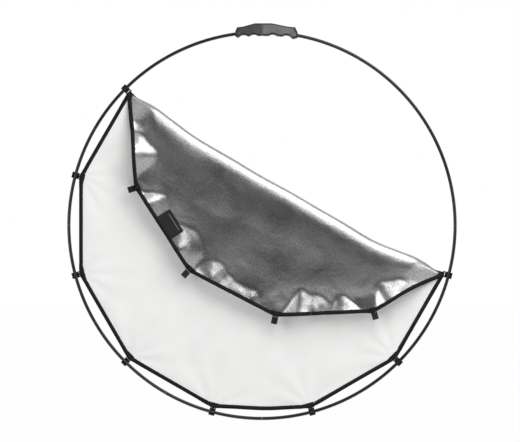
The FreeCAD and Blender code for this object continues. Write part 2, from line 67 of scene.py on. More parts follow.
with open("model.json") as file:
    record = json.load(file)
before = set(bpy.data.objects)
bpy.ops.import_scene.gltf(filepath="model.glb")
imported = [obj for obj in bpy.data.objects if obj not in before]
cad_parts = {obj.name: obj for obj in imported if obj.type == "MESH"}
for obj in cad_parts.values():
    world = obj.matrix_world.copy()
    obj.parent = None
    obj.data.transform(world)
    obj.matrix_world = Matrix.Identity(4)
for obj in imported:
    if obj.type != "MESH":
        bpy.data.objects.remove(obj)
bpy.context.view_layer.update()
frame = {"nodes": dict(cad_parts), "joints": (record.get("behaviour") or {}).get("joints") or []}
JOINTS = {joint["name"]: joint for joint in frame["joints"]}

# ------------------------------------------------------------ places taken from the frame

MM = 0.001
CORNER_COUNT = 12
FIRST_CORNER = math.radians(15)
CORNER_STEP = 2 * math.pi / CORNER_COUNT
FREE_ANGLES = [math.radians(angle) for angle in (105, 75, 45, 15)]
HOOKED_ANGLES = [FIRST_CORNER + CORNER_STEP * number
                 for number in range(len(FREE_ANGLES), CORNER_COUNT)]
CLIP_SPAN = CORNER_STEP * 1.5  # half the angle between the outer two free clips
FOLD_SPAN = CORNER_STEP * 2.5  # half the angle between the ends of the fold
TAPE_CORNER = 4.14 * MM  # how far the tape's corners stand outside the cloth's
UPRIGHT = Matrix.Rotation(math.radians(90), 4, "X")  # turns a level mesh into the ring plane


def ring_radius():
    """Centreline radius of the frame, from the boxes of its tubes."""
    boxes = [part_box(name) for name in frame["nodes"] if name.startswith("tube_")]
    tube = (boxes[0][1][1] - boxes[0][0][1]) / 2
    width = max(high[0] for low, high in boxes) - min(low[0] for low, high in boxes)
    return width / 2 - tube


RING = ring_radius()
CENTRE = Vector((0, 0, -RING))
HINGE = Vector(JOINTS["flap_fold"]["pos_m"])
ALONG = -Vector(JOINTS["flap_fold"]["axis"]).normalized()  # along the fold, to the right
OFF = ALONG.cross(Vector((0, 1, 0))).normalized()  # off the fold, in the ring plane
if OFF.z < 0:
    OFF.negate()
PANEL_Y = sum(corner[1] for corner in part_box("panel_cloth")) / 2
PANEL_END = (HINGE - CENTRE).dot(OFF)
# the clips swing about bars that stand a little outside the corners of the binding
BARS = [Vector(JOINTS["clip_%d_swing" % number]["pos_m"]) for number in range(1, 5)]
BAR_RADIUS = (BARS[0] - BARS[3]).length / 2 / math.sin(CLIP_SPAN)
CORNER = -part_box("panel_binding")[0][0] / math.cos(CORNER_STEP / 2) - TAPE_CORNER
APOTHEM = CORNER * math.cos(CORNER_STEP / 2)  # from the centre to the middle of a side
CHORD = CORNER * math.cos(FOLD_SPAN)
HALF_FOLD = CORNER * math.sin(FOLD_SPAN)


def direction(angle):
    """Unit vector of the ring plane at an angle from +X."""
    return Vector((math.cos(angle), 0, math.sin(angle)))


def flap_map():
    """How a point of the unfolded cover lies on the folded flap: a point on each, then the
    two axes of the flat cloth and where they point once it is folded."""
    flat = [direction(angle) * BAR_RADIUS for angle in FREE_ANGLES]
    across = (flat[3] - flat[0]).normalized()
    outward = (flat[1] + flat[2] - flat[0] - flat[3]).normalized()
    across_to = BARS[3] - BARS[0]
    across_to.y = 0
    across_to.normalize()
    outward_to = BARS[1] + BARS[2] - BARS[0] - BARS[3]
    outward_to.y = 0
    outward_to.normalize()
    middle = (BARS[0] + BARS[3]) / 2
    offset = (flat[0] + flat[3]) / 2
    return middle, offset, across, outward, across_to, outward_to


FLAP_MAP = flap_map()
# the hanging cloth lies where the clips hold it from this distance below the fold on
SETTLED = CORNER * (math.cos(CLIP_SPAN) - math.cos(FOLD_SPAN))


def linear(code, alpha=1.0):
    """An sRGB hex colour as the linear values that shaders take."""
    values = [int(code[place:place + 2], 16) / 255 for place in (1, 3, 5)]
    values = [v / 12.92 if v <= 0.04045 else ((v + 0.055) / 1.055) ** 2.4 for v in values]
    return (*values, alpha)


# ------------------------------------------------------------ sizes and colours


def length(name, description, default):
    """A length in metres with its name and description."""
    return bpy.props.FloatProperty(name=name, description=description, default=default,
                                   unit="LENGTH", precision=5)


def colour(name, description, code):
    """A surface colour, given as sRGB hex and stored linear."""
    return bpy.props.FloatVectorProperty(name=name, description=description, size=3,
                                         default=linear(code)[:3], subtype="COLOR")


class ReflectorSizes(bpy.types.PropertyGroup):
    cell: length("Cloth cell", "Spacing of the cloth's mesh", 5.5 * MM)
    cloth: length("Cloth", "Thickness of the laminated cover cloth", 0.5 * MM)
    roll: length("Fold radius", "Radius of the soft fold in the middle", 10.3 * MM)
    swell: length("Swell", "How far the flap comes forward below the fold", 6.5 * MM)
    swell_long: length("Swell length", "Length over which it does so", 16 * MM)
    roll_end: length("Fold radius at the ends", "Radius of the fold at its two corners", 1.5 * MM)
    taper: length("Fold taper", "Length over which the fold flattens to a corner", 75 * MM)
    crumple: length("Crumple depth", "Depth of the creases in the silver flap", 2.6 * MM)
    facet: length("Facet", "Usual width of the sloping cloth beside the flap's tape", 30 * MM)
    facet_slope: bpy.props.FloatProperty(
        name="Facet slope", description="Rise over run beside the tape", default=0.27)
    wrinkle: length("Wrinkle depth", "Depth of the soft wrinkles in the white panel", 2.2 * MM)
    slack: length("Slack", "Drop of the loose bottom edge", 4.5 * MM)
    binding: length("Binding width", "Width of the tape folded round the edge", 8 * MM)
    binding_thick: length("Binding thickness", "Thickness of the folded tape", 2.2 * MM)
    patch: length("Patch reach", "Reach of a corner patch inside the tape", 4 * MM)
    patch_thick: length("Patch thickness", "Thickness of a corner patch", 1.7 * MM)
    tab_long: length("Tab length", "Reach of a webbing tab inside the bar of its clip", 5 * MM)
    tab_round: length("Tab loop", "Radius of the webbing's loop round the bar", 2.1 * MM)
    tab_wide: length("Tab half width", "Half the width of a webbing tab", 4 * MM)
    tab_thick: length("Tab thickness", "Thickness of the webbing", 0.9 * MM)
    label_long: length("Label length", "Woven label along the edge", 54 * MM)
    label_deep: length("Label depth", "Woven label across the edge", 33 * MM)
    label_thick: length("Label thickness", "Thickness of the woven label", 0.7 * MM)
    label_lift: length("Label lift", "From the cloth to the middle of the label", 2.1 * MM)


class ReflectorColours(bpy.types.PropertyGroup):
    white: colour("White cloth", "Diffusing front of the cover", "#F1F1F0")
    silver: colour("Silver cloth", "Metallised back of the cover", "#BCBCBD")
    silver_dark: colour("Silver cloth, dark", "Dull fleck of the metallised cloth", "#88888A")
    tape: colour("Tape", "Black polyester tape", "#101011")
    tube: colour("Tube", "Black anodised aluminium", "#1B1B1D")
    rubber: colour("Rubber", "Grey moulded grip rubber", "#4A4B4D")
    core: colour("Grip core", "Black moulded grip core", "#141415")
    clip: colour("Clip", "Black moulded clip", "#121213")


# ------------------------------------------------------------ cloth shape


def smooth(value):
    """Eased step from 0 to 1."""
    value = min(max(value, 0.0), 1.0)
    return value * value * (3 - 2 * value)


def ridged(place, seed):
    """Noise with sharp creases, between -1 and 1."""
    return 1 - 2 * abs(noise.noise(place + Vector((seed, seed * 0.7, seed * 0.3))))


def edge_distance(flat):
    """How far a point of the unfolded cover lies inside the line of the binding."""
    return min(APOTHEM - flat.dot(direction(CORNER_STEP * index))
               for index in range(CORNER_COUNT))


# where the loose cloth bulges inside the flap's tape: angle on the unfolded cover, and reach
BUBBLES = ((126, 30 * MM), (99, 26 * MM), (82, 54 * MM), (68, 40 * MM), (54, 24 * MM),
           (33, 38 * MM), (24, 30 * MM))

# creases in a metre of the loose flap
BROAD, FACETS, DRAWN_ALONG, DRAWN_OFF, RATTLE = 7, 13, 5, 16, 44
RIM_DEEP = 70 * MM  # the creases deepen over this distance towards the tape
FLAP_CALM = 50 * MM  # and die out over this one towards the fold

# wrinkles of the stretched panel: waves in a metre, rays from a hooked corner, and their reach
PANEL_WAVES, RAYS = 6, 11
RAY_START, RAY_REACH = 30 * MM, 100 * MM
PANEL_CALM = 40 * MM  # the wrinkles die out over this distance towards the fold

# the fold's sag: height, waves along the fold in radians a metre, and their phase
SAG = ((0.7 * MM, 21, 0), (0.4 * MM, 47, 1))
DRAWN_IN = 2.4  # the fold line curves in over this many times the fold's taper

# the slack bottom edge: depth where it starts and over which it grows, as shares of the cover's
# radius; then the middle and half width of the slack
SLACK_FROM, SLACK_OVER = 0.9, 0.07
SLACK_MIDDLE, SLACK_HALF = 10 * MM, 100 * MM


def rim_lift(flat, sizes):
    """The tape stands proud of the loose flap: the cloth slopes back from it in uneven facets,
    each ending in a sharp crease."""
    side = math.atan2(flat.z, flat.x) / CORNER_STEP
    between = abs(math.cos(math.pi * side))  # 0 at a corner, 1 in the middle of a side
    uneven = noise.noise(Vector((side * 3.1 + 0.7, 2.3, 0)))
    width = sizes.facet * (0.28 + 2.1 * max(0.0, uneven + 0.12)) * smooth(between * 1.6)
    for degrees, reach in BUBBLES:
        centre = direction(math.radians(degrees)) * APOTHEM
        width = max(width, reach - (flat - centre).length + edge_distance(flat))
    return sizes.facet_slope * max(0.0, width - edge_distance(flat))


def crumple_depth(flat, sizes):
    """Creases of the loose flap: broad folds, sharp facets and a fine rattle on them."""
    rim = 1.0 - smooth(edge_distance(flat) / RIM_DEEP)
    broad = noise.noise(flat * BROAD + Vector((3.1, 0, 0)))
    facets = ridged(flat * FACETS, seed=1.7) * (0.08 + 0.75 * rim)
    drawn = ridged(Vector((flat.dot(ALONG) * DRAWN_ALONG, 0, flat.dot(OFF) * DRAWN_OFF)),
                   seed=4.2) * 0.16
    fine = ridged(flat * RATTLE, seed=8.3) * (0.05 + 0.2 * rim)
    return sizes.crumple * (0.5 * broad + facets + drawn + fine) - rim_lift(flat, sizes)


def panel_depth(flat, sizes):
    """Soft wrinkles of the stretched panel, drawn from each hooked corner."""
    depth = noise.noise(flat * PANEL_WAVES) * 0.5
    for number, angle in enumerate(HOOKED_ANGLES):
        arm = flat - direction(angle) * CORNER
        reach = arm.length
        turn = math.atan2(arm.z, arm.x)
        ray = math.exp(-reach / RAY_REACH) * smooth(reach / RAY_START)
        depth += ray * math.sin(RAYS * turn + number)
    return sizes.wrinkle * depth


def inside_ends(across, reach):
    """0 at either end of the fold, easing to 1 over a reach."""
    return smooth((HALF_FOLD - abs(across)) / reach)


def fold_start(across, sizes):
    """Distance off the ring centre where the sheet starts to roll, and the roll's radius."""
    share = inside_ends(across, sizes.taper)
    sag = sum(height * math.sin(across * waves + phase) for height, waves, phase in SAG)
    start = CHORD - 2 * sizes.roll_end
    start += (PANEL_END - start) * inside_ends(across, DRAWN_IN * sizes.taper)
    return start + sag * share, sizes.roll_end + (sizes.roll - sizes.roll_end) * share


def lay(flat, sizes, lift=0.0):
    """Where a point of the flat, unfolded cover lies when its upper part is folded down.
    lift moves it off the cloth, towards the white face."""
    across = flat.dot(ALONG)
    off = flat.dot(OFF)
    start, radius = fold_start(across, sizes)
    past = off - start
    if past <= 0:
        return lay_panel(flat, past, sizes, lift)
    swell = sizes.swell * inside_ends(across, sizes.taper)
    last = math.pi - math.atan2(swell, sizes.swell_long)  # the roll ends on a slope
    turned = min(past / radius, last)
    rolled = start + (radius - lift) * math.sin(turned)
    depth = PANEL_Y - radius + (radius - lift) * math.cos(turned)
    hanging = past - last * radius
    if hanging <= 0:
        return CENTRE + ALONG * across + OFF * rolled + Vector((0, depth, 0))
    hung = CENTRE + ALONG * across + OFF * (rolled - hanging)
    middle, offset, flat_x, flat_y, world_x, world_y = FLAP_MAP
    arm = flat - offset
    settled = middle + world_x * arm.dot(flat_x) + world_y * arm.dot(flat_y)
    place = hung.lerp(settled, min(hanging / SETTLED, 1.0))
    depth -= swell * (1 - math.exp(-hanging / sizes.swell_long))
    place.y = depth + crumple_depth(flat, sizes) * smooth(hanging / FLAP_CALM)
    return place


def lay_panel(flat, past, sizes, lift):
    """Where a point of the cover below the fold lies: flat behind the ring, a little slack."""
    depth = panel_depth(flat, sizes) * smooth(-past / PANEL_CALM)
    low = smooth((-flat.z / CORNER - SLACK_FROM) / SLACK_OVER)
    drop = sizes.slack * low * smooth(1 - abs(flat.x - SLACK_MIDDLE) / SLACK_HALF)
    return CENTRE + flat + Vector((0, PANEL_Y - lift + depth, -drop))


# ------------------------------------------------------------ mesh helpers


def new_object(name, mesh_maker):
    """An object at the origin from a function that fills a bmesh."""
    mesh = bpy.data.meshes.new(name)
    work = bmesh.new()
    mesh_maker(work)
    work.to_mesh(mesh)
    work.free()
    piece = bpy.data.objects.new(name, mesh)
    bpy.context.scene.collection.objects.link(piece)
    return piece


def flat_uv(work, place_of):
    """UV map in metres from a function of the vertex, before the sheet is folded."""
    layer = work.loops.layers.uv.new("cloth")
    for face in work.faces:
        for loop in face.loops:
            loop[layer].uv = place_of(loop.vert.co)


def put_down(work, sizes, lift=0.0):
    """Lay every vertex of a flat mesh, drawn in the ring plane, where the cover lies."""
    for vertex in work.verts:
        vertex.co = lay(Vector((vertex.co.x, 0, vertex.co.z)), sizes, lift)


def face_front(work):
    """Turn the faces so that the white one of the flat panel looks to the front."""
    lowest = min(work.faces, key=lambda face: face.calc_center_median().z)
    lowest.normal_update()
    if lowest.normal.y > 0:
        bmesh.ops.reverse_faces(work, faces=work.faces[:])


def cut_to_cover(work, reach):
    """Trim a flat mesh to the twelve straight edges of the cover."""
    for index in range(CORNER_COUNT):
        normal = direction(CORNER_STEP * index)
        bmesh.ops.bisect_plane(work, geom=work.verts[:] + work.edges[:] + work.faces[:],
                               plane_co=normal * reach, plane_no=normal, clear_outer=True,
                               dist=1e-6)


def smooth_faces(piece, angle=None):
    """Shade smooth, keeping edges sharper than an angle."""
    for polygon in piece.data.polygons:
        polygon.use_smooth = True
    if angle is not None:
        bpy.context.view_layer.objects.active = piece
        piece.select_set(True)
        bpy.ops.object.shade_smooth_by_angle(angle=math.radians(angle))
        piece.select_set(False)


def solidify(piece, thickness, material_offset=0):
    """Thicken a sheet evenly to both sides."""
    modifier = piece.modifiers.new("thickness", "SOLIDIFY")
    modifier.thickness = thickness
    modifier.offset = 0.0
    modifier.material_offset = material_offset
    modifier.use_even_offset = False


def add_node(tree, kind, sockets=(), **settings):
    """Add a shader node, set its properties, and fill or link its sockets."""
    node = tree.nodes.new(kind)
    for name, value in settings.items():
        setattr(node, name, value)
    for name, value in dict(sockets).items():
        if isinstance(value, bpy.types.NodeSocket):
            tree.links.new(value, node.inputs[name])
        else:
            node.inputs[name].default_value = value
    return node


def material(name, **surface):
    """A new material with its Principled shader's own sockets set."""
    made = bpy.data.materials.new(name)
    made.use_nodes = True
    shader = made.node_tree.nodes["Principled BSDF"]
    for socket, value in surface.items():
        shader.inputs[socket.replace("_", " ")].default_value = value
    return made, made.node_tree, shader


def give(piece, *finishes):
    """Put finishes in an object's material slots."""
    piece.data.materials.clear()
    for finish in finishes:
        piece.data.materials.append(finish)


def ramp(tree, factor, stops):
    """Colour ramp from pairs of position and linear colour."""
    node = add_node(tree, "ShaderNodeValToRGB", {"Fac": factor})
    elements = node.color_ramp.elements
    for element, (position, value) in zip(elements, stops):
        element.position = position
        element.color = value
    return node.outputs["Color"]


# ------------------------------------------------------------ finishes

WAVE = math.pi / 10  # a wave texture of this scale repeats once in a metre, or in its divisor


def opaque(rgb, share=1.0):
    """A colour, or a share of it, with full alpha."""
    return tuple(share * value for value in rgb) + (1.0,)


def maths(tree, operation, *values):
    """Output of a maths node that works on numbers and sockets."""
    node = add_node(tree, "ShaderNodeMath", enumerate(values), operation=operation)
    return node.outputs["Value"]


def bands(tree, where, spacing, axis):
    """Straight bands across a surface, at a spacing in metres."""
    node = add_node(tree, "ShaderNodeTexWave", {"Vector": where, "Scale": WAVE / spacing},
                    wave_type="BANDS", bands_direction=axis)
    return node.outputs["Fac"]


def clouds(tree, where, size, detail, **sockets):
    """Noise with features of a size in metres."""
    node = add_node(tree, "ShaderNodeTexNoise", {"Vector": where, "Scale": 1 / size,
                                                 "Detail": detail, **sockets})
    return node.outputs["Fac"]


def cloth_place(tree):
    """Place on the flat, unfolded cloth, in metres."""
    return add_node(tree, "ShaderNodeUVMap", uv_map="cloth").outputs["UV"]


def two_tone(tree, factor, ground, figure):
    """One colour where a factor is 0, another where it is 1."""
    mix = add_node(tree, "ShaderNodeMix", {"Factor": factor}, data_type="RGBA")
    mix.inputs["A"].default_value = ground
    mix.inputs["B"].default_value = figure
    return mix.outputs["Result"]


def vary_gloss(tree, shader, factor, low, high):
    """Roughness between two values, following a noise."""
    gloss = add_node(tree, "ShaderNodeMapRange", {"Value": factor, "From Min": 0.3,
                                                  "From Max": 0.7, "To Min": low, "To Max": high})
    tree.links.new(gloss.outputs["Result"], shader.inputs["Roughness"])


def dress(tree, shader, tone, height, strength, depth):
    """Link a colour, and a bump of a depth in metres, to a shader."""
    tree.links.new(tone, shader.inputs["Base Color"])
    bump = add_node(tree, "ShaderNodeBump", {"Height": height, "Strength": strength,
                                             "Distance": depth})
    tree.links.new(bump.outputs["Normal"], shader.inputs["Normal"])


def white_cloth(colours):
    """White polyester: a fine plain weave, matt, with a faint sheen."""
    made, tree, shader = material("white_polyester_weave", Roughness=0.75, Sheen_Weight=0.15,
                                  Sheen_Roughness=0.5, Specular_IOR_Level=0.25)
    where = cloth_place(tree)
    thread = 1.2 * MM  # the real 0.2 mm threads would not show
    weave = maths(tree, "MULTIPLY", bands(tree, where, thread, "X"),
                  bands(tree, where, thread, "Y"))
    tone = ramp(tree, clouds(tree, where, 70 * MM, 3.0),
                [(0.3, opaque(colours.white, 0.95)), (0.7, opaque(colours.white))])
    dress(tree, shader, tone, weave, 0.12, 0.1 * MM)
    return made


def silver_cloth(colours):
    """Metallised polyester: a bright, crinkled foil skin on cloth, flecked and half matt."""
    made, tree, shader = material("metallised_polyester", Metallic=1.0, Anisotropic=0.2)
    where = cloth_place(tree)
    fleck = clouds(tree, where, 3.2 * MM, 4.0, Roughness=0.7)
    patch = clouds(tree, where, 90 * MM, 3.0, Roughness=0.5)
    tone = ramp(tree, maths(tree, "MULTIPLY_ADD", patch, 0.25, fleck),
                [(0.5, opaque(colours.silver_dark)), (0.78, opaque(colours.silver))])
    vary_gloss(tree, shader, patch, 0.27, 0.34)
    crinkle = add_node(tree, "ShaderNodeTexVoronoi", {"Vector": where, "Scale": 1 / (9 * MM)},
                       feature="SMOOTH_F1")
    height = maths(tree, "ADD", crinkle.outputs["Distance"], fleck)
    dress(tree, shader, tone, height, 0.25, 0.7 * MM)
    return made


def woven_tape(name, spacing, base):
    """Black polyester webbing: a fine uneven rib, matt with a soft sheen."""
    made, tree, shader = material(name, Roughness=0.82, Sheen_Weight=0.06, Sheen_Roughness=0.4,
                                  Specular_IOR_Level=0.2)
    where = add_node(tree, "ShaderNodeTexCoord").outputs["Object"]
    ribs = clouds(tree, where, spacing, 2.0)
    light = opaque(min(1.0, value * 1.9 + 0.004) for value in base)
    tone = ramp(tree, ribs, [(0.35, opaque(base)), (0.75, light)])
    dress(tree, shader, tone, ribs, 0.5, 0.3 * MM)
    return made


def stitched_tape(colours):
    """Edge binding: twill tape with a row of lock stitches inside its middle line."""
    made, tree, shader = material("polyester_edge_tape", Roughness=0.8, Sheen_Weight=0.06,
                                  Sheen_Roughness=0.4, Specular_IOR_Level=0.2)
    where = cloth_place(tree)
    twill = bands(tree, where, 1.6 * MM, "DIAGONAL")
    split = add_node(tree, "ShaderNodeSeparateXYZ", {"Vector": where})
    pitch, stitch, row, half_thread = 3.5 * MM, 2.6 * MM, -1.8 * MM, 0.5 * MM
    on = maths(tree, "LESS_THAN", maths(tree, "MODULO", split.outputs["X"], pitch), stitch)
    thread = maths(tree, "MULTIPLY", on,
                   maths(tree, "COMPARE", split.outputs["Y"], row, half_thread))
    tone = two_tone(tree, thread, opaque(colours.tape), linear("#2C2C2E"))
    height = maths(tree, "MULTIPLY_ADD", twill, 0.4, thread)
    dress(tree, shader, tone, height, 0.5, 0.25 * MM)
    return made


def grained(name, base, grain, depth, low, high, worn, **surface):
    """Moulded or metal surface with a fine grain, a little tone and changing gloss."""
    made, tree, shader = material(name, **surface)
    where = add_node(tree, "ShaderNodeTexCoord").outputs["Object"]
    broad = clouds(tree, where, 36 * MM, 4.0)
    tone = ramp(tree, broad, [(0.35, opaque(base)), (0.75, worn)])
    vary_gloss(tree, shader, broad, low, high)
    dress(tree, shader, tone, clouds(tree, where, grain, 3.0), 0.35, depth)
    return made


# ------------------------------------------------------------ operators


class Piece:
    """Shared by the operators: sizes and colours."""
    bl_options = {"REGISTER"}

    def execute(self, context):
        self.build(context.scene.reflector_sizes, context.scene.reflector_colours)
        return {"FINISHED"}


class REFLECTOR_OT_cover(Piece, bpy.types.Operator):
    """Make the two-faced cloth cover with its upper part folded down over the front"""
    bl_idname = "reflector.cover"
    bl_label = "Cover"

    def build(self, sizes, colours):
        half = CORNER * 1.03  # a grid that covers all the corners, cut to shape below
        steps = int(2 * half / sizes.cell)

        def fill(work):
            turned = Matrix((ALONG, Vector((0, 1, 0)), OFF)).transposed().to_4x4()
            bmesh.ops.create_grid(work, x_segments=steps, y_segments=steps, size=half,
                                  matrix=turned @ UPRIGHT)
            cut_to_cover(work, APOTHEM)
            flat_uv(work, lambda spot: (spot.x, spot.z))
            put_down(work, sizes)
            face_front(work)

        cover = new_object("cover_sheet", fill)
        smooth_faces(cover)
        give(cover, white_cloth(colours), silver_cloth(colours))
        solidify(cover, sizes.cloth, material_offset=1)
        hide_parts("panel_cloth", "flap_cloth")
        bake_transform(cover)


class REFLECTOR_OT_binding(Piece, bpy.types.Operator):
    """Make the black tape folded round the whole edge of the cover"""
    bl_idname = "reflector.binding"
    bl_label = "Edge binding"

    def build(self, sizes, colours):
        half = sizes.binding / 2
        cuts_along, cuts_across = 43, 3  # of each side of the tape, and over its width

        def fill(work):
            outer = CORNER + half / math.cos(CORNER_STEP / 2)
            turned = Matrix.Rotation(-FIRST_CORNER, 4, "Y")
            bmesh.ops.create_circle(work, cap_ends=True, segments=CORNER_COUNT, radius=outer,
                                    matrix=turned @ UPRIGHT)
            bmesh.ops.inset_region(work, faces=work.faces[:], thickness=sizes.binding,
                                   use_even_offset=True, use_boundary=True)
            middle = max(work.faces, key=lambda face: len(face.verts))
            bmesh.ops.delete(work, geom=[middle], context="FACES_ONLY")
            long_edges = [edge for edge in work.edges if edge.calc_length() > 3 * sizes.binding]
            bmesh.ops.subdivide_edges(work, edges=long_edges, cuts=cuts_along,
                                      use_grid_fill=True)
            short = [edge for edge in work.edges if self.crosses(edge)]
            bmesh.ops.subdivide_edges(work, edges=short, cuts=cuts_across, use_grid_fill=True)
            flat_uv(work, self.along_edge)
            put_down(work, sizes)
            face_front(work)

        binding = new_object("edge_binding", fill)
        smooth_faces(binding)
        give(binding, stitched_tape(colours))
        solidify(binding, sizes.binding_thick)
        bevel = binding.modifiers.new("rounded edge", "BEVEL")
        bevel.width = 0.7 * MM
        bevel.segments = 2
        bevel.limit_method = "ANGLE"
        bevel.angle_limit = math.radians(60)
        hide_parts("panel_binding", "flap_binding")
        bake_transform(binding)

    @staticmethod
    def crosses(edge):
        """True for an edge across the tape: its ends lie at two distances from the rim."""
        first, second = edge.verts
        return abs(edge_distance(first.co) - edge_distance(second.co)) > 5 * MM

    @staticmethod
    def along_edge(spot):
        """Length along the tape and distance outside its middle."""
        angle = math.atan2(spot.z, spot.x)
        number = round(angle / CORNER_STEP)
        normal = direction(CORNER_STEP * number)
        tangent = direction(CORNER_STEP * number + math.pi / 2)
        side = 2 * CORNER * math.sin(CORNER_STEP / 2)
        start = 10  # keeps the length positive, for the stitches' modulo
        return number * side + spot.dot(tangent) + start, spot.dot(normal) - APOTHEM


class REFLECTOR_OT_patches(Piece, bpy.types.Operator):
    """Make the black reinforcement sewn into each corner, on both faces"""
    bl_idname = "reflector.patches"
    bl_label = "Corner patches"

    def build(self, sizes, colours):
        finish = woven_tape("corner_patch_webbing", 1.1 * MM, colours.tape)
        for name, angles, body, node in (("panel_corner_patches", HOOKED_ANGLES, "cover",
                                          "panel_patches"),
                                         ("flap_corner_patches", FREE_ANGLES, "flap",
                                          "flap_patches")):
            def fill(work):
                for angle in angles:
                    self.one_patch(work, angle, sizes)
                put_down(work, sizes)
                bmesh.ops.recalc_face_normals(work, faces=work.faces[:])

            patches = new_object(name, fill)
            smooth_faces(patches)
            give(patches, finish)
            solidify(patches, sizes.patch_thick)
            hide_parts(node)
            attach(patches, body)

    @staticmethod
    def one_patch(work, angle, sizes):
        """A flat triangle across the corner, from its straight inner side to the tape's edge."""
        outward = direction(angle)
        sideways = direction(angle + math.pi / 2)
        slope = math.tan(CORNER_STEP / 2)
        inner = -(sizes.binding / 2 + sizes.patch)
        short = 0.5 * MM  # it stops this far inside the tape's outer edge
        turned = Matrix.Rotation(-angle, 4, "Y") @ UPRIGHT
        made = bmesh.ops.create_grid(work, x_segments=6, y_segments=10, size=0.5, matrix=turned)
        for vertex in made["verts"]:
            inwards = vertex.co.dot(outward) + 0.5  # 0 at the inner side, 1 at the corner
            side = vertex.co.dot(sideways) * 2 * sizes.patch / slope
            outer = sizes.binding / 2 - short - abs(side) * slope
            reach = inner + (outer - inner) * inwards
            vertex.co = outward * (CORNER + reach) + sideways * side


class REFLECTOR_OT_tabs(Piece, bpy.types.Operator):
    """Make the webbing loops that carry the four free clips"""
    bl_idname = "reflector.tabs"
    bl_label = "Flap tabs"

    def build(self, sizes, colours):
        flat_x, flat_y, world_x, world_y = FLAP_MAP[2:]

        def fill(work):
            for angle, bar in zip(FREE_ANGLES, BARS):
                flat = direction(angle)
                outward = world_x * flat.dot(flat_x) + world_y * flat.dot(flat_y)
                self.one_loop(work, bar, outward, sizes)
            bmesh.ops.recalc_face_normals(work, faces=work.faces[:])

        tabs = new_object("flap_tab_loops", fill)
        smooth_faces(tabs)
        give(tabs, woven_tape("flap_tab_webbing", 0.9 * MM, colours.tape))
        solidify(tabs, sizes.tab_thick)
        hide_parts("flap_tabs")
        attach(tabs, "flap")

    @staticmethod
    def one_loop(work, bar, outward, sizes):
        """Flattened loop of webbing round a clip's bar, sewn down over the tape."""
        made = bmesh.ops.create_cone(work, cap_ends=False, segments=28, radius1=1, radius2=1,
                                     depth=2)
        sideways = outward.cross(Vector((0, 1, 0)))
        for vertex in made["verts"]:
            out, deep, side = vertex.co
            long = sizes.tab_round if out > 0 else sizes.tab_round + sizes.tab_long
            narrow = 1 - 0.3 * smooth(-out)  # the loop closes towards its seam
            vertex.co = (bar + outward * long * out + sideways * side * sizes.tab_wide
                         + Vector((0, deep * sizes.tab_round * narrow, 0)))


class REFLECTOR_OT_label(Piece, bpy.types.Operator):
    """Make the plain woven label sewn to the edge of the flap"""
    bl_idname = "reflector.label"
    bl_label = "Woven label"

    def build(self, sizes, colours):
        def fill(work):
            made = bmesh.ops.create_grid(work, x_segments=16, y_segments=12, size=0.5,
                                         matrix=UPRIGHT)
            edge = APOTHEM - 1 * MM  # its outer edge stops 1 mm inside the cloth's
            for vertex in made["verts"]:
                vertex.co = Vector((vertex.co.x * sizes.label_long, 0,
                                    edge + (vertex.co.z - 0.5) * sizes.label_deep))
            flat_uv(work, lambda spot: (spot.x, spot.z - edge))
            put_down(work, sizes, lift=-sizes.label_lift)
            bmesh.ops.smooth_vert(work, verts=work.verts[:], factor=0.5, use_axis_x=False,
                                  use_axis_y=True, use_axis_z=False)
            bmesh.ops.recalc_face_normals(work, faces=work.faces[:])

        label = new_object("woven_label_tag", fill)
        smooth_faces(label)
        give(label, self.finish())
        solidify(label, sizes.label_thick)
        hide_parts("woven_label")
        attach(label, "flap")

    @staticmethod
    def finish():
        """Damask-woven label: black satin ground with a plain grey bar in place of words."""
        made, tree, shader = material("damask_woven_label", Roughness=0.6,
                                      Specular_IOR_Level=0.25)
        where = cloth_place(tree)
        split = add_node(tree, "ShaderNodeSeparateXYZ", {"Vector": where})
        bar_at, half_deep, half_long = -26 * MM, 0.5 * MM, 20 * MM
        deep = maths(tree, "COMPARE", split.outputs["Y"], bar_at, half_deep)
        long = maths(tree, "COMPARE", split.outputs["X"], 0.0, half_long)
        bar = maths(tree, "MULTIPLY", deep, long)
        tone = two_tone(tree, bar, linear("#141416"), linear("#8A8B8C"))
        dress(tree, shader, tone, bands(tree, where, 1.2 * MM, "Y"), 0.4, 0.2 * MM)
        return made


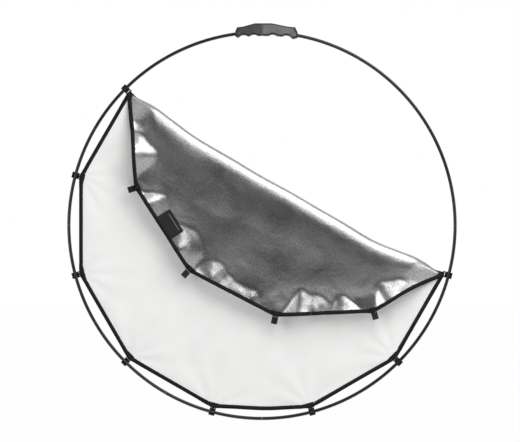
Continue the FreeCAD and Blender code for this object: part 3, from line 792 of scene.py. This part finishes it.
class REFLECTOR_OT_frame_finishes(Piece, bpy.types.Operator):
    """Give the tubes, ferrules, cord, grip and clips their real finishes"""
    bl_idname = "reflector.frame_finishes"
    bl_label = "Frame finishes"

    def build(self, sizes, colours):
        # anodised aluminium: satin black oxide over metal, worn a little in random patches
        tube = grained("black_anodised_aluminium", colours.tube, 0.6 * MM, 0.02 * MM, 0.16, 0.26,
                       linear("#232325"), Metallic=0.35)
        bare = grained("drawn_aluminium", linear("#C9CACC")[:3], 0.5 * MM, 0.03 * MM, 0.28, 0.4,
                       linear("#DADBDD"), Metallic=1.0)
        # braided elastic: rubber core in a matt black braid
        cord = woven_tape("braided_elastic", 0.7 * MM, colours.tape)
        core = grained("moulded_abs_black", colours.core, 0.5 * MM, 0.05 * MM, 0.32, 0.45,
                       linear("#1C1C1D"))
        # soft grip rubber: matt, dusty grey, with a pebbled grain; the left half is darker
        rubber = grained("thermoplastic_rubber", colours.rubber, 1.3 * MM, 0.25 * MM, 0.6, 0.78,
                         linear("#707173"))
        dark = grained("thermoplastic_rubber_dark", linear("#2B2C2E")[:3], 1.3 * MM, 0.25 * MM,
                       0.6, 0.78, linear("#48494B"))
        screw = grained("zinc_plated_steel", linear("#B8B9BB")[:3], 0.4 * MM, 0.02 * MM, 0.25,
                        0.35, linear("#CDCED0"), Metallic=1.0)
        clip = grained("moulded_acetal_black", colours.clip, 0.5 * MM, 0.03 * MM, 0.22, 0.36,
                       linear("#1B1B1C"))
        web = woven_tape("nylon_webbing", 0.9 * MM, colours.tape)
        finishes = {"tube": tube, "ferrule": bare, "cord": cord, "cord_plug": bare,
                    "grip_core": core, "grip_pad": rubber, "grip_pad_front_left": dark,
                    "grip_pad_rear_left": dark, "grip_screw": screw, "clips": clip,
                    "free_clip": clip, "panel_tabs": web}
        for name, node in frame["nodes"].items():
            keys = [key for key in finishes if name.startswith(key)]
            if keys:
                give(node, finishes[max(keys, key=len)])
                smooth_faces(node, 35)


class REFLECTOR_OT_stage(Piece, bpy.types.Operator):
    """Add the pale floor, the black flag, the white world light, the lamps and the camera"""
    bl_idname = "reflector.stage"
    bl_label = "Stage"

    def build(self, sizes, colours):
        scene = bpy.context.scene
        scene.view_settings.view_transform = "Standard"
        floor_drop, floor_side = 0.35, 30
        floor_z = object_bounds()[0][2] - floor_drop
        floor = self.plane("floor", floor_side, Matrix.Translation((0, 0, floor_z)))
        give(floor, self.pale(0.98))
        flag_side, flag_offset = 7.2, Vector((0, -5.4, 0.3))
        flag = self.plane("black flag", flag_side,
                          Matrix.Translation(CENTRE + flag_offset) @ UPRIGHT)
        give(flag, self.black_flag())
        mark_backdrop(floor, flag)
        world = bpy.data.worlds.new("studio")
        scene.world = world
        world.use_nodes = True
        self.world_light(world.node_tree)
        key_turn = math.radians(49)  # off the camera's side, square to the fold
        key = Vector((0, -1, 0)) * math.cos(key_turn) + OFF * math.sin(key_turn)
        # name, place from the ring's centre, side in metres and power in watts
        for name, offset, side, power in (("key softbox", key * 2.7, 2.1, 50),
                                          ("left softbox", (-2.5, -2.5, 0.3), 1.5, 28),
                                          ("right strip", (2.8, -1.9, 0.3), 0.9, 9),
                                          ("low fill", (0.9, -2.6, -1.6), 1.4, 20)):
            self.lamp(name, CENTRE + Vector(offset), side, power)
        self.camera(scene)

    @staticmethod
    def plane(name, side, place):
        """A square sheet of one face."""
        def fill(work):
            bmesh.ops.create_grid(work, x_segments=1, y_segments=1, size=side / 2, matrix=place)
        return new_object(name, fill)

    @staticmethod
    def pale(share):
        """Pale paint that the camera and reflections see brighter, so the sweep stays white."""
        made, tree, shader = material("pale_paper_sweep", Base_Color=linear("#F4F4F4"),
                                      Roughness=0.9)
        amount = maths(tree, "MULTIPLY", REFLECTOR_OT_stage.seen_white(tree), share)
        glow = add_node(tree, "ShaderNodeEmission", {"Color": (1, 1, 1, 1), "Strength": 1.0})
        REFLECTOR_OT_stage.show(tree, amount, shader.outputs["BSDF"], glow.outputs["Emission"])
        return made

    @staticmethod
    def black_flag():
        """Black velvet behind the camera, which the silver cloth reflects; unseen directly."""
        made, tree, shader = material("black_velvet_flag", Base_Color=linear("#2E2E2E"),
                                      Roughness=1.0, Specular_IOR_Level=0.0)
        rays = add_node(tree, "ShaderNodeLightPath").outputs
        clear = add_node(tree, "ShaderNodeBsdfTransparent")
        REFLECTOR_OT_stage.show(tree, rays["Is Camera Ray"], shader.outputs["BSDF"],
                                clear.outputs["BSDF"])
        return made

    @staticmethod
    def show(tree, amount, surface, other):
        """Output one surface, and by an amount another instead."""
        mix = add_node(tree, "ShaderNodeMixShader", {0: amount, 1: surface, 2: other})
        tree.links.new(mix.outputs["Shader"], tree.nodes["Material Output"].inputs["Surface"])

    @staticmethod
    def world_light(tree):
        """White to the camera and in reflections; a softer level for the light itself."""
        background = tree.nodes["Background"]
        background.inputs["Color"].default_value = (1, 1, 1, 1)
        strength = maths(tree, "MAXIMUM", REFLECTOR_OT_stage.seen_white(tree), 0.4)
        tree.links.new(strength, background.inputs["Strength"])

    @staticmethod
    def seen_white(tree):
        """1 for a ray from the camera, or one that was reflected or let through, else 0."""
        rays = add_node(tree, "ShaderNodeLightPath").outputs
        seen = maths(tree, "MAXIMUM", rays["Is Camera Ray"], rays["Is Glossy Ray"])
        return maths(tree, "MAXIMUM", seen, rays["Is Transmission Ray"])

    @staticmethod
    def lamp(name, place, side, power):
        """A square lamp aimed at the ring's centre."""
        data = bpy.data.lights.new(name, "AREA")
        data.shape = "SQUARE"
        data.size = side
        data.energy = power
        lamp = bpy.data.objects.new(name, data)
        lamp.location = place
        lamp.rotation_euler = (CENTRE - place).to_track_quat("-Z", "Y").to_euler()
        bpy.context.scene.collection.objects.link(lamp)

    @staticmethod
    def camera(scene):
        """Square on to the front, a long lens, the ring filling the height."""
        distance = 4.5
        field = 2.6925 * RING  # width seen at the ring
        aim = Vector((-0.0103 * RING, 0, 0.0223 * RING))  # middle of the picture, off the ring's
        data = bpy.data.cameras.new("camera")
        data.sensor_width = 36
        data.lens = data.sensor_width * distance / field
        camera = bpy.data.objects.new("camera", data)
        camera.location = CENTRE + aim + Vector((0, -distance, 0))
        camera.rotation_euler = (math.radians(90), 0, 0)
        scene.collection.objects.link(camera)
        scene.camera = camera


class REFLECTOR_PT_panel(bpy.types.Panel):
    """Lists the pieces of the reflector"""
    bl_idname = "REFLECTOR_PT_panel"
    bl_label = "Reflector"
    bl_space_type = "VIEW_3D"
    bl_region_type = "UI"
    bl_category = "Reflector"

    def draw(self, context):
        for operator in OPERATORS:
            self.layout.operator(operator.bl_idname)
        for group in (context.scene.reflector_sizes, context.scene.reflector_colours):
            for name in group.__annotations__:
                self.layout.prop(group, name)


OPERATORS = (REFLECTOR_OT_cover, REFLECTOR_OT_binding, REFLECTOR_OT_patches, REFLECTOR_OT_tabs,
             REFLECTOR_OT_label, REFLECTOR_OT_frame_finishes, REFLECTOR_OT_stage)
CLASSES = (ReflectorSizes, ReflectorColours) + OPERATORS + (REFLECTOR_PT_panel,)


def register():
    """Add the classes and the two groups of properties."""
    for item in CLASSES:
        bpy.utils.register_class(item)
    bpy.types.Scene.reflector_sizes = bpy.props.PointerProperty(type=ReflectorSizes)
    bpy.types.Scene.reflector_colours = bpy.props.PointerProperty(type=ReflectorColours)


def unregister():
    """Take them away again."""
    del bpy.types.Scene.reflector_sizes
    del bpy.types.Scene.reflector_colours
    for item in reversed(CLASSES):
        bpy.utils.unregister_class(item)


def main():
    """Dress the frame."""
    register()
    bpy.ops.reflector.cover()
    bpy.ops.reflector.binding()
    bpy.ops.reflector.patches()
    bpy.ops.reflector.tabs()
    bpy.ops.reflector.label()
    bpy.ops.reflector.frame_finishes()
    bpy.ops.reflector.stage()


if __name__ == "__main__":
    main()
